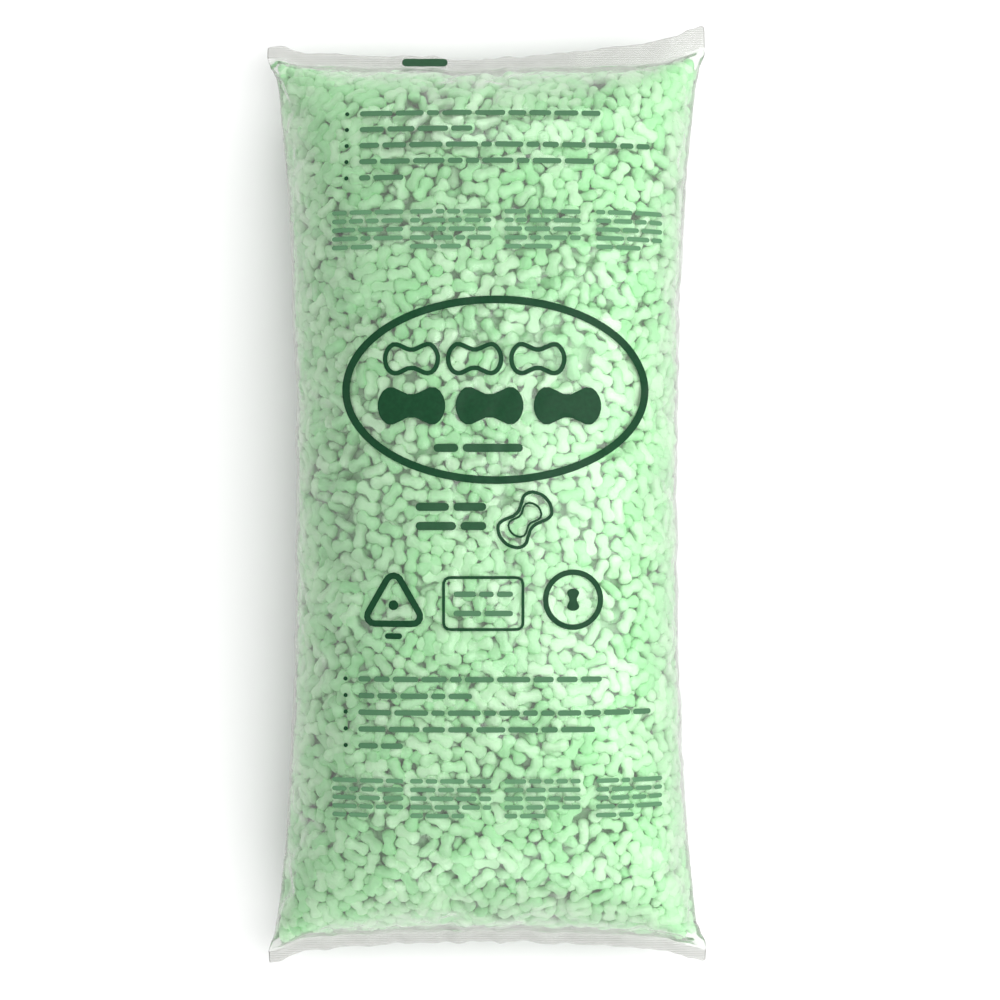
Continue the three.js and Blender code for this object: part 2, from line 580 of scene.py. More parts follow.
@dataclass
class FilmBag:
    """The welded tube of film.

    Its points are kept as rings, one for each station along the bag. A ring runs over
    the printed face from left to right and back under the bag.
    """

    form: PillowForm
    flat_width: float = 0.825
    flat_length: float = 1.583
    panels_across: int = 66
    panels_along: int = 128
    cloth_frames: int = 26
    cloth_pressure: float = 2.4
    wrinkle_gain: float = 1.7
    wrinkle_limit: float = 0.013
    keep_ripple: float = 6.0
    ply_gap: float = 0.0006
    floor_gap: float = 0.0006
    cling_reach: float = 0.030
    cling_rest: float = 0.0165
    cling_softness: float = 0.0022
    cling_limit: float = 0.006
    cling_share: float = 0.22
    hem_rows: int = 3
    hem_sag: float = 0.009
    corner_sag: float = 0.004
    hem_wave: float = 0.0012
    wave_rates: tuple[float, float] = (83, 37)
    flap_growth: float = 4.0
    flap_delay: float = 0.2
    form_steps: int = 1201
    start_noise: float = 0.0009
    seed: int = 3
    rings: np.ndarray = field(init=False)

    def _start(self) -> tuple[np.ndarray, np.ndarray]:
        """Lays out the film on the bag's form.

        Returns:
            The rings on the bag, and the same rings on the flat tube.
        """
        across, along = self.panels_across, self.panels_along
        dense = np.sin(np.linspace(-1, 1, self.form_steps) * math.pi / 2)
        stations = evenly(self.form.point(0 * dense, dense, 1), dense, along)
        rings = np.empty((along + 1, 2 * across, 3))
        for row, t in enumerate(stations):
            for face in (1, -1):
                curve = self.form.point(dense, t, face)
                us = evenly(curve, dense, across)
                line = self.form.point(us, t, face)
                if face > 0:
                    rings[row, : across + 1] = line
                else:
                    rings[row, across + 1 :] = line[-2:0:-1]
        flat = np.zeros_like(rings)
        xs = np.linspace(-0.5, 0.5, across + 1) * self.flat_width
        flat[:, : across + 1, 0] = xs
        flat[:, across + 1 :, 0] = xs[-2:0:-1]
        flat[:, :, 1] = (np.linspace(-0.5, 0.5, along + 1) * self.flat_length)[:, None]
        return rings, flat

    def welded(self) -> tuple[np.ndarray, np.ndarray, list]:
        """Numbers the rings' points, with both plies of a weld sharing theirs.

        Returns:
            The point number of every place in the rings, the first place of each point
            as row and column, and the faces.
        """
        across, along = self.panels_across, self.panels_along
        ring = 2 * across
        number = np.arange((along + 1) * ring).reshape(along + 1, ring)
        for row in (0, along):
            number[row, across + 1 :] = number[row, across - 1 : 0 : -1]
        used, number = np.unique(number, return_inverse=True)
        number = number.reshape(along + 1, ring)
        return number, used, tube_faces(number)

    def _blurred(self, values: np.ndarray) -> np.ndarray:
        """Smooths vectors over the rings.

        Args:
            values: One vector for each place in the rings.

        Returns:
            The smoothed vectors.
        """
        reach = int(3 * self.keep_ripple)
        weights = np.exp(-0.5 * (np.arange(-reach, reach + 1) / self.keep_ripple) ** 2)
        weights /= weights.sum()
        wrapped = np.pad(values, ((0, 0), (reach, reach), (0, 0)), mode="wrap")
        width, height = values.shape[1], values.shape[0]
        round_it = sum(w * wrapped[:, k : k + width] for k, w in enumerate(weights))
        ended = np.pad(round_it, ((reach, reach), (0, 0), (0, 0)), mode="edge")
        return sum(w * ended[k : k + height] for k, w in enumerate(weights))

    def _set_cloth(self, cloth: bpy.types.ClothModifier, cut: bpy.types.ShapeKey) -> None:
        """Gives the film its stiffness, and the push of the fill in place of its weight.

        Args:
            cloth: The cloth modifier.
            cut: The film as it was cut.
        """
        settings = cloth.settings
        settings.quality = 5
        settings.mass = 0.05
        settings.rest_shape_key = cut
        settings.tension_stiffness = settings.compression_stiffness = 60
        settings.shear_stiffness = 20
        settings.bending_stiffness = 0.002
        settings.tension_damping = settings.compression_damping = 8
        settings.shear_damping = 8
        settings.bending_damping = 1
        settings.air_damping = 4
        settings.use_pressure = True
        settings.uniform_pressure_force = self.cloth_pressure
        settings.fluid_density = 0
        settings.effector_weights.gravity = 0
        cloth.point_cache.frame_start = 1
        cloth.point_cache.frame_end = self.cloth_frames

    def _relaxed(self, rings: np.ndarray, flat: np.ndarray) -> np.ndarray:
        """Lets the spare film buckle, as cloth under a little pressure from the fill.

        Args:
            rings: The film laid out on the bag's form, smaller than it was cut.
            flat: The same film as it was cut.

        Returns:
            The rings with the wrinkles, held close to the bag's form.
        """
        number, used, faces = self.welded()
        start = rings.reshape(-1, 3)[used]
        mesh = mesh_from("film_cloth", start, faces)
        normals = vertex_values(mesh, "normal")
        noise = np.random.default_rng(self.seed).normal(0, self.start_noise, len(used))
        begun = start + normals * noise[:, None]
        mesh.vertices.foreach_set("co", begun.astype(np.float32).ravel())
        cloth_object = new_object("film_cloth", mesh)
        cloth_object.shape_key_add(name="Basis")
        cut = cloth_object.shape_key_add(name="cut")
        shape = flat.reshape(-1, 3)[used].astype(np.float32)
        cut.data.foreach_set("co", shape.ravel())
        self._set_cloth(cloth_object.modifiers.new("cloth", "CLOTH"), cut)
        scene = bpy.context.scene
        scene.frame_start, scene.frame_end = 1, self.cloth_frames
        for step in range(1, self.cloth_frames + 1):
            scene.frame_set(step)
        depsgraph = bpy.context.evaluated_depsgraph_get()
        moved = vertex_values(cloth_object.evaluated_get(depsgraph).data, "co") - start
        scene.frame_set(1)
        bpy.data.objects.remove(cloth_object)
        moves = moved[number]
        wrinkles = (moves - self._blurred(moves)) * self.wrinkle_gain
        size = np.linalg.norm(wrinkles, axis=2, keepdims=True)
        wrinkles *= np.tanh(size / self.wrinkle_limit) * self.wrinkle_limit
        wrinkles /= np.maximum(size, 1e-9)
        return rings + wrinkles

    def _hems(self, rings: np.ndarray) -> np.ndarray:
        """Adds the flat weld bands past both ends.

        Args:
            rings: The rings from weld to weld.

        Returns:
            The rings with the bands' own rings before and after them.
        """
        across = self.panels_across
        bands = []
        for end, weld in ((-1, rings[0]), (1, rings[-1])):
            side = np.abs(weld[:, 0]) / (self.form.end_width / 2)
            band = []
            for row in range(1, self.hem_rows + 1):
                share = row / self.hem_rows
                ring = weld.copy()
                depth = np.full(len(ring), self.form.hem)
                if end > 0:
                    grown = weld[:, 0] * self.flap_growth - self.flap_delay
                    depth += self.form.flap * np.clip(grown, 0, 1)
                ring[:, 1] += end * depth * share
                ring[:, 2] -= self.hem_sag * share**1.5 + self.corner_sag * share * side**4
                fast, slow = (weld[:, 0] * rate for rate in self.wave_rates)
                wave = np.sin(fast + end) + np.sin(slow + 2 * end)
                ring[:, 2] += self.hem_wave * share * wave
                band.append(ring)
            bands.append(np.array(band if end > 0 else band[::-1]))
        whole = np.concatenate([bands[0], rings, bands[1]])
        back = np.concatenate([[0], np.arange(2 * across - 1, 0, -1)])
        # The two plies of the weld and its band lie a film's thickness apart.
        for row in [*range(self.hem_rows + 1), *range(-self.hem_rows - 1, 0)]:
            middle = (whole[row] + whole[row][back]) / 2
            middle[1:across, 2] += self.ply_gap / 2
            middle[across + 1 :, 2] -= self.ply_gap / 2
            whole[row] = middle
        return whole

    def build(self) -> bpy.types.Object:
        """Makes the film.

        Returns:
            The film as one closed surface.
        """
        rings, flat = self._start()
        rings = self._relaxed(rings, flat)
        rings[:, :, 2] = np.maximum(rings[:, :, 2], self.floor_gap)
        self.rings = rings
        whole = self._hems(rings)
        rows, ring = whole.shape[:2]
        number = np.arange(rows * ring).reshape(rows, ring)
        faces = tube_faces(number)
        across = self.panels_across
        for row, turned in ((0, False), (rows - 1, True)):
            for k in range(across):
                under_now = number[row, (ring - k) % ring]
                under_next = number[row, ring - k - 1]
                quad = [number[row, k], under_now, under_next, number[row, k + 1]]
                quad = [n for i, n in enumerate(quad) if n not in quad[:i]]
                faces.append(quad[::-1] if turned else quad)
        mesh = mesh_from("film_bag_skin", whole.reshape(-1, 3), faces)
        weld = np.zeros((rows, ring))
        band = self.hem_rows + 1
        weld[:band] = weld[-band:] = 1.0
        store_values(mesh, "weld", weld.ravel())
        obj = new_object("film_bag_skin", mesh)
        smooth = obj.modifiers.new("smooth", "SUBSURF")
        smooth.levels = smooth.render_levels = 1
        return settled(obj)

    def cling(self, obj: bpy.types.Object, lobes: np.ndarray) -> None:
        """Draws the film in between the chips, and out over them.

        Args:
            obj: The film.
            lobes: The middles of all the chips' lobes.
        """
        mesh = obj.data
        points = vertex_values(mesh, "co")
        weld = np.empty(len(points), np.float32)
        mesh.attributes["weld"].data.foreach_get("value", weld)
        both = np.concatenate([points, lobes])
        first, second = close_pairs(both, self.cling_reach)
        across = (first < len(points)) != (second < len(points))
        first, second = first[across], second[across]
        on_film = np.minimum(first, second)
        far = np.linalg.norm(both[first] - both[second], axis=1)
        pull = np.exp(-(far - self.cling_rest) / self.cling_softness)
        total = np.bincount(on_film, pull, len(points))
        offset = self.cling_softness * np.log(np.maximum(total, 1e-3))
        offset = np.clip(offset, -self.cling_limit, self.cling_limit)
        offset *= self.cling_share * (1 - weld)
        points += vertex_values(mesh, "normal") * offset[:, None]
        points[:, 2] = np.maximum(points[:, 2], self.floor_gap)
        mesh.vertices.foreach_set("co", points.astype(np.float32).ravel())
        mesh.update()

    def dress(self, obj: bpy.types.Object, finish: FilmFinish) -> None:
        """Gives the film its finish and its place in the frame.

        Args:
            obj: The film.
            finish: Its finish.
        """
        obj.data.materials.append(finish.material())
        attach(obj, BODY)
        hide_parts("film_bag")


# --------------------------------------------------------------------------------------
# The foam chips
# --------------------------------------------------------------------------------------


@dataclass(frozen=True)
class ChipShape:
    """One figure-eight chip, a slice of a foam strand with softly rounded edges."""

    length: float = 0.044
    width: float = 0.026
    thickness: float = 0.015
    edge: float = 0.0045
    plump: float = 1.4
    pinch: float = 0.6
    pinch_power: int = 6
    bend: float = 0.003
    dish: float = 0.0012

    def outline(self, sides: int) -> np.ndarray:
        """Finds the chip's outline.

        Args:
            sides: How many points it has.

        Returns:
            One row of x and y for each point.
        """
        angle = (np.arange(sides) + 0.5) / sides * 2 * math.pi
        sine = np.sin(angle)
        waist = 1 - self.pinch * sine**self.pinch_power
        x = self.length / 2 * np.cos(angle)
        y = self.width / 2 * self.plump * sine * waist
        return np.stack([x, y], 1)

    def mesh(self, name: str, sides: int, edge_steps: int) -> bpy.types.Mesh:
        """Makes the chip's mesh, lying along X with its flat faces up and down.

        Args:
            name: The mesh's name.
            sides: Points round the outline.
            edge_steps: Facets over each rounded edge.

        Returns:
            A closed mesh.
        """
        outline = self.outline(sides)
        rings = []
        flat = self.thickness / 2 - self.edge
        for half in (-1, 1):
            angles = np.linspace(0, math.pi / 2, edge_steps + 1)
            for angle in angles[::-1] if half < 0 else angles:
                inward = self.edge * (1 - math.cos(angle))
                shrink = 1 - inward / np.array([self.length / 2, self.width / 2])
                height = half * (flat + self.edge * math.sin(angle))
                rings.append(np.column_stack([outline * shrink, np.full(sides, height)]))
        poles = [[0, 0, -self.thickness / 2], [0, 0, self.thickness / 2]]
        points = np.concatenate([*rings, poles])
        curl_up = self.bend * (points[:, 0] / (self.length / 2)) ** 2
        points[:, 2] += curl_up - self.dish * (points[:, 1] / (self.width / 2)) ** 2
        faces = []
        for row in range(len(rings) - 1):
            for k in range(sides):
                n = (k + 1) % sides
                a, b = row * sides, (row + 1) * sides
                faces.append([a + k, a + n, b + n, b + k])
        low, high = len(points) - 2, len(points) - 1
        top = (len(rings) - 1) * sides
        for k in range(sides):
            n = (k + 1) % sides
            faces.append([low, n, k])
            faces.append([high, top + k, top + n])
        return mesh_from(name, points, faces)


def close_pairs(points: np.ndarray, reach: float) -> tuple[np.ndarray, np.ndarray]:
    """Finds every pair of points within reach of each other.

    Args:
        points: One row of x, y, z each.
        reach: The greatest distance.

    Returns:
        The numbers of the first and of the second point of each pair.
    """
    cell = np.floor((points - points.min(0)) / reach).astype(np.int64) + 1
    span = cell.max(0) + 2
    key = (cell[:, 0] * span[1] + cell[:, 1]) * span[2] + cell[:, 2]
    order = np.argsort(key, kind="stable")
    ordered = key[order]
    firsts, seconds = [], []
    for dx in (-1, 0, 1):
        for dy in (-1, 0, 1):
            for dz in (-1, 0, 1):
                shift = (dx * span[1] + dy) * span[2] + dz
                if shift < 0:
                    continue
                low = np.searchsorted(ordered, key + shift, "left")
                count = np.searchsorted(ordered, key + shift, "right") - low
                first = np.repeat(np.arange(len(points)), count)
                within = np.arange(count.sum()) - np.repeat(np.cumsum(count) - count, count)
                second = order[np.repeat(low, count) + within]
                if shift == 0:
                    keep = first < second
                    first, second = first[keep], second[keep]
                firsts.append(first)
                seconds.append(second)
    first, second = np.concatenate(firsts), np.concatenate(seconds)
    near = np.linalg.norm(points[first] - points[second], axis=1) < reach
    return first[near], second[near]


@dataclass
class Packing:
    """Where the chips lie: two layers against the film, shaken to spread them out.

    For this a chip is a pair of balls, its two lobes, a fixed distance apart. Crowded
    chips still overlap a little when the shaking ends.
    """

    film: FilmBag
    shape: ChipShape
    lobe_radius: float = 0.0112
    lobe_gap: float = 0.0205
    film_room: float = 0.0022
    least_room: float = 0.0010
    fittings: int = 4
    depth: float = 0.047
    chips: int = 6200
    rounds: int = 70
    outer_share: float = 0.52
    tilt: float = 0.15
    search_every: int = 5
    search_reach: float = 1.35
    push_gain: float = 1.3
    draw_out: float = 0.5
    least_inside: float = 0.75
    seed: int = 11
    lobes: np.ndarray = field(init=False)
    outs: np.ndarray = field(init=False)
    depths: np.ndarray = field(init=False)

    def _walls(self) -> BVHTree:
        """Makes the film searchable.

        Returns:
            The search tree.
        """
        _, used, faces = self.film.welded()
        points = self.film.rings.reshape(-1, 3)[used]
        return BVHTree.FromPolygons(points.tolist(), faces)

    def _nearest(self, tree: BVHTree, points: np.ndarray) -> tuple[np.ndarray, np.ndarray]:
        """Finds the film nearest to each point.

        Args:
            tree: The film.
            points: The points.

        Returns:
            The nearest places on the film and the film's outward directions there.
        """
        place = np.empty_like(points)
        out = np.empty_like(points)
        for k, point in enumerate(points):
            found, normal, _, _ = tree.find_nearest(point)
            place[k] = found
            out[k] = normal
        return place, out

    def _scattered(self, random: np.random.Generator) -> np.ndarray:
        """Scatters chips at random under the film.

        Args:
            random: The random numbers to use.

        Returns:
            Both lobes of every chip.
        """
        _, used, faces = self.film.welded()
        points = self.film.rings.reshape(-1, 3)[used]
        quads = points[np.array(faces)]
        normal = np.cross(quads[:, 2] - quads[:, 0], quads[:, 3] - quads[:, 1])
        area = np.linalg.norm(normal, axis=1) / 2
        picked = random.choice(len(quads), self.chips, p=area / area.sum())
        mix = random.random((self.chips, 2, 1))
        corner = quads[picked]
        low = corner[:, 0] * (1 - mix[:, 0]) + corner[:, 1] * mix[:, 0]
        high = corner[:, 3] * (1 - mix[:, 0]) + corner[:, 2] * mix[:, 0]
        place = low * (1 - mix[:, 1]) + high * mix[:, 1]
        out = unit(normal[picked])
        outer = random.random(self.chips) < self.outer_share
        deep = np.where(outer, self.lobe_radius, self.depth - self.lobe_radius / 2)
        centre = place - out * deep[:, None]
        along = unit(np.cross(out, random.normal(size=(self.chips, 3))))
        along = unit(along + out * random.normal(0, self.tilt, (self.chips, 1)))
        half = along * self.lobe_gap / 2
        return np.stack([centre - half, centre + half], 1)

    def settle(self, fixed: np.ndarray) -> None:
        """Shakes the chips apart and holds them inside the film.

        Args:
            fixed: Both lobes of the chips that already have their place.
        """
        random = np.random.default_rng(self.seed)
        tree = self._walls()
        chips = np.concatenate([fixed, self._scattered(random)])
        held = len(fixed) * 2
        balls = chips.reshape(-1, 3).copy()
        size = 2 * self.lobe_radius
        for turn in range(self.rounds):
            if turn % self.search_every == 0:
                first, second = close_pairs(balls, size * self.search_reach)
                other = first // 2 != second // 2
                first, second = first[other], second[other]
                place, out = self._nearest(tree, balls)
            gap = balls[second] - balls[first]
            far = np.maximum(np.linalg.norm(gap, axis=1), 1e-9)
            push = np.maximum(size - far, 0) / 2
            step = gap / far[:, None] * push[:, None]
            move = np.zeros_like(balls)
            share = np.zeros(len(balls))
            np.add.at(move, first, -step)
            np.add.at(move, second, step)
            np.add.at(share, first, push > 0)
            np.add.at(share, second, push > 0)
            balls_next = balls + move / np.maximum(share, 1)[:, None] * self.push_gain
            inside = ((place - balls_next) * out).sum(1)
            short = np.maximum(self.lobe_radius + self.film_room - inside, 0)
            over = np.maximum(inside - self.depth, 0)
            balls_next += out * (self.draw_out * over - short)[:, None]
            pair = balls_next.reshape(-1, 2, 3)
            middle = pair.mean(1)
            half = unit(pair[:, 1] - pair[:, 0]) * self.lobe_gap / 2
            balls_next = np.stack([middle - half, middle + half], 1).reshape(-1, 3)
            balls_next[:held] = balls[:held]
            balls = balls_next
        place, out = self._nearest(tree, balls)
        inside = ((place - balls) * out).sum(1).reshape(-1, 2)
        keep = inside.min(1) > self.least_inside * self.lobe_radius
        keep[: len(fixed)] = False
        first, second = close_pairs(balls, size)
        other = first // 2 != second // 2
        far = np.linalg.norm(balls[second[other]] - balls[first[other]], axis=1)
        deepest = float((size - far).max()) if len(far) else 0.0
        mean = float((size - far).mean()) if len(far) else 0.0
        LOG.info("lobes overlap by %.1f mm at most, %.1f on average", deepest * 1e3, mean * 1e3)
        self.lobes = balls.reshape(-1, 2, 3)[keep]
        self.outs = out.reshape(-1, 2, 3)[keep]
        self.depths = inside[keep]

    @property
    def outward(self) -> np.ndarray:
        """The direction out of the bag at each chip."""
        return unit(self.outs.mean(1))

    @property
    def deepness(self) -> np.ndarray:
        """How far each chip's middle lies under the film."""
        return self.depths.mean(1)

    def fitted(self, turns: np.ndarray, chosen: np.ndarray, grown: float) -> np.ndarray:
        """Moves chips inwards, away from the film that they poke through.

        Args:
            turns: The chips' turning matrices.
            chosen: Which chips they are.
            grown: How much larger than its shape a chip may be.

        Returns:
            The middle of each chip.
        """
        mesh = self.shape.mesh("chip_probe", sides=8, edge_steps=1)
        probe = vertex_values(mesh, "co") * grown
        bpy.data.meshes.remove(mesh)
        middles = self.lobes[chosen].mean(1)
        tree = self._walls()
        each = np.arange(len(middles))
        for _ in range(self.fittings):
            points = middles[:, None] + np.einsum("nij,pj->npi", turns, probe)
            place, out = self._nearest(tree, points.reshape(-1, 3))
            place, out = place.reshape(points.shape), out.reshape(points.shape)
            short = self.least_room - ((place - points) * out).sum(2)
            worst = short.argmax(1)
            lacking = np.maximum(short[each, worst], 0)
            middles = middles - out[each, worst] * lacking[:, None]
        LOG.info("chips still short of room by %.1f mm at most", lacking.max() * 1e3)
        return middles


def turn_matrices(along: np.ndarray, up: np.ndarray) -> np.ndarray:
    """Makes turning matrices for chips.

    Args:
        along: The direction of each chip's length.
        up: A direction near each chip's thickness.

    Returns:
        One 3 by 3 matrix each, whose columns are length, width and thickness.
    """
    wide = unit(np.cross(up, along))
    thick = np.cross(along, wide)
    return np.stack([along, wide, thick], 2)


def scatter_tree() -> bpy.types.GeometryNodeTree:
    """Builds the nodes that put a chip on every point.

    Returns:
        A tree with the inputs Chip, Least Size, Greatest Size, Seed and Finish.
    """
    graph = start_tree(
        "chips_on_points",
        {
            "Chip": ("Object", None),
            "Least Size": ("Float", 0.94),
            "Greatest Size": ("Float", 1.05),
            "Seed": ("Int", 5),
            "Finish": ("Material", None),
        },
    )
    given = graph.add("NodeGroupInput").outputs
    chip = graph.add("GeometryNodeObjectInfo", {"Object": given["Chip"]})
    turn = graph.add(
        "GeometryNodeInputNamedAttribute", {"Name": "turn"}, data_type="FLOAT_VECTOR"
    )
    turned = graph.add("FunctionNodeEulerToRotation", {0: turn.outputs["Attribute"]})
    size = graph.add(
        "FunctionNodeRandomValue",
        {2: given["Least Size"], 3: given["Greatest Size"], "Seed": given["Seed"]},
        data_type="FLOAT",
    )
    placed = graph.add(
        "GeometryNodeInstanceOnPoints",
        {
            "Points": given["Geometry"],
            "Instance": chip.outputs["Geometry"],
            "Rotation": turned.outputs[0],
            "Scale": size.outputs[1],
        },
    )
    return end_tree(graph, placed.outputs[0], given["Finish"])


def add_tree(obj: bpy.types.Object, tree: bpy.types.GeometryNodeTree, values: dict) -> None:
    """Puts a node tree on an object and sets its named inputs.

    Args:
        obj: The object.
        tree: The tree.
        values: Input names, each with its value.
    """
    modifier = obj.modifiers.new(tree.name, "NODES")
    modifier.node_group = tree
    for item in tree.interface.items_tree:
        if item.item_type == "SOCKET" and item.in_out == "INPUT" and item.name in values:
            modifier[item.identifier] = values[item.name]


@dataclass
class Peanuts:
    """All the foam chips that show through the film, and the mass behind them; the deeper are
    painted darker as shade.
    """

    film: FilmBag
    shape: ChipShape = field(default_factory=ChipShape)
    roll_outer: float = 0.40
    least_size: float = 0.94
    greatest_size: float = 1.05
    outer_depth: float = 0.022
    tips_from: float = 0.7
    waist_to: float = 0.4
    single_shades: tuple[float, float] = (0.3, 1.0)
    outer_shades: tuple[float, float] = (0.25, 1.0)
    # The second layer's lightness runs a little below the first layer's: painted shade for its
    # depth, not a real difference in the foam.
    inner_shades_painted_darker: tuple[float, float] = (0.2, 0.95)
    # The deep fill's one lightness sits below the chips' mean: painted shade for its depth.
    core_shade_painted_darker: float = 0.5
    core_depth: float = 0.040
    core_room: float = 1.3
    core_lumps: float = 0.0035
    seed: int = 23
    foam: bpy.types.Material = field(init=False)
    tree: bpy.types.GeometryNodeTree = field(init=False)
    lobes: np.ndarray = field(init=False)

    def _node_chip(self, node: bpy.types.Object) -> tuple[np.ndarray, np.ndarray]:
        """Reads how a single chip of the frame lies.

        Args:
            node: The chip's node.

        Returns:
            Its middle, and its turning matrix.
        """
        points = np.unique(vertex_values(node.data, "co").round(6), axis=0)
        corners = (points.min(0) + points.max(0)) / 2
        middle = points.mean(0)
        _, axes = np.linalg.eigh(np.cov((points - middle).T))
        along, thick = axes[:, 2], axes[:, 0]
        reach = np.abs((points - middle) @ along)
        height = (points - middle) @ thick
        tips = height[reach > self.tips_from * reach.max()].mean()
        if tips < height[reach < self.waist_to * reach.max()].mean():
            thick = -thick
        turn = turn_matrices(along[None], thick[None])[0]
        local = (points - corners) @ turn
        centre = corners + turn @ ((local.min(0) + local.max(0)) / 2)
        lift = (self.shape.bend - self.shape.dish) / 2
        return centre - turn[:, 2] * lift, turn

    def single_chips(self, lobe_gap: float) -> np.ndarray:
        """Replaces each single chip of the frame with a finer one.

        Args:
            lobe_gap: How far apart the middles of a chip's lobes are.

        Returns:
            Both lobes of every such chip.
        """
        names = sorted(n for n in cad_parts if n.startswith("peanut_"))
        random = np.random.default_rng(self.seed)
        lobes = []
        for name in names:
            centre, turn = self._node_chip(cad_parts[name])
            matrix = Matrix(turn.tolist()).to_4x4()
            matrix.translation = Vector(centre)
            mesh = self.shape.mesh(f"chip_{name[-2:]}", sides=22, edge_steps=4)
            mesh.transform(matrix)
            shade = random.uniform(*self.single_shades)
            store_values(mesh, "shade", np.full(len(mesh.vertices), shade))
            mesh.materials.append(self.foam)
            obj = new_object(f"chip_{name[-2:]}", mesh)
            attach(obj, BODY)
            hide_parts(name)
            half = turn[:, 0] * lobe_gap / 2
            lobes.append([centre - half, centre + half])
        return np.array(lobes)

    def _pile(
        self,
        name: str,
        packing: Packing,
        chosen: np.ndarray,
        chip: bpy.types.Object,
        shades: tuple[float, float],
    ) -> bpy.types.Object:
        """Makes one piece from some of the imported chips.

        Args:
            name: The piece's name.
            packing: Where the chips lie.
            chosen: Which of them to use.
            chip: The chip to copy.
            shades: The least and greatest lightness.

        Returns:
            The piece.
        """
        random = np.random.default_rng(self.seed + len(name))
        lobes = packing.lobes[chosen]
        along = unit(lobes[:, 1] - lobes[:, 0])
        outward = packing.outward[chosen]
        side = np.cross(along, outward)
        outer = packing.deepness[chosen] < self.outer_depth
        roll = np.where(
            outer,
            random.normal(0, self.roll_outer, len(lobes)),
            random.uniform(-math.pi, math.pi, len(lobes)),
        )
        flip = np.where(random.random(len(lobes)) < 0.5, 0.0, math.pi)
        angle = (roll + flip)[:, None]
        turns = turn_matrices(along, outward * np.cos(angle) + side * np.sin(angle))
        eulers = np.array([Matrix(t.tolist()).to_euler() for t in turns])
        points = mesh_from(name, packing.fitted(turns, chosen, self.greatest_size), [])
        store_values(points, "turn", eulers)
        store_values(points, "shade", random.uniform(*shades, len(lobes)))
        obj = new_object(name, points)
        values = {
            "Chip": chip,
            "Least Size": self.least_size,
            "Greatest Size": self.greatest_size,
            "Seed": self.seed,
            "Finish": self.foam,
        }
        add_tree(obj, self.tree, values)
        settled(obj)
        obj.data.shade_smooth()
        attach(obj, BODY)
        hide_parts("loose_fill")
        return obj

    def core(self) -> bpy.types.Object:
        """Makes the lumpy surface of the mass of chips behind the first two layers, tinted darker
        than them as painted shade.

        Returns:
            The piece.
        """
        rings = self.film.rings
        lows, highs = rings.min(1, keepdims=True), rings.max(1, keepdims=True)
        centre = (lows + highs) / 2
        half = (highs - lows) / 2
        # The bag is too thin near its welds to hold anything so deep.
        kept = half[:, 0, 2] > self.core_room * self.core_depth
        half[..., 1] = rings[..., 1].max()
        centre[..., 1] = 0
        shrunk = centre + (rings - centre) * (1 - self.core_depth / half)
        kept = shrunk[kept]
        wave = np.random.default_rng(self.seed).normal(0, self.core_lumps, kept.shape[:2])
        kept = kept + unit(kept - kept.mean(1, keepdims=True)) * wave[..., None]
        count, ring = kept.shape[:2]
        grid = np.arange(count * ring).reshape(count, ring)
        faces = tube_faces(grid)
        low, high = count * ring, count * ring + 1
        ends = np.array([kept[0].mean(0), kept[-1].mean(0)])
        for k in range(ring):
            n = (k + 1) % ring
            faces.append([low, grid[0, n], grid[0, k]])
            faces.append([high, grid[-1, k], grid[-1, n]])
        mesh = mesh_from("deep_fill", np.concatenate([kept.reshape(-1, 3), ends]), faces)
        # One lightness for the whole deep fill, below the chips' mean: painted shade for its
        # depth.
        store_values(mesh, "shade", np.full(len(mesh.vertices), self.core_shade_painted_darker))
        mesh.materials.append(self.foam)
        obj = new_object("deep_fill", mesh)
        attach(obj, BODY)
        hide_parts("loose_fill")
        return obj

    def build(self, finish: FoamFinish) -> list[bpy.types.Object]:
        """Makes every chip.

        Args:
            finish: The foam's finish.

        Returns:
            The pieces that hold many chips.
        """
        self.foam = finish.material()
        self.tree = scatter_tree()
        packing = Packing(self.film, self.shape)
        singles = self.single_chips(packing.lobe_gap)
        packing.settle(singles)
        self.lobes = np.concatenate([singles.reshape(-1, 3), packing.lobes.reshape(-1, 3)])
        fine = new_object("chip_fine", self.shape.mesh("chip_fine", sides=14, edge_steps=1))
        plain = new_object("chip_plain", self.shape.mesh("chip_plain", sides=10, edge_steps=1))
        outer = packing.deepness < self.outer_depth
        upper = packing.outward[:, 2] > 0
        piles = (
            ("chips_under_face", outer & upper, fine, self.outer_shades),
            ("chips_over_floor", outer & ~upper, fine, self.outer_shades),
            # The second layer takes the darker lightness range, painted shade for its depth.
            ("chips_second_layer_up", ~outer & upper, plain, self.inner_shades_painted_darker),
            ("chips_second_layer_down", ~outer & ~upper, plain, self.inner_shades_painted_darker),
        )
        pieces = [self._pile(name, packing, *how) for name, *how in piles]
        pieces.append(self.core())
        for chip in (fine, plain):
            bpy.data.objects.remove(chip)
        return pieces


# --------------------------------------------------------------------------------------
# The print
# --------------------------------------------------------------------------------------


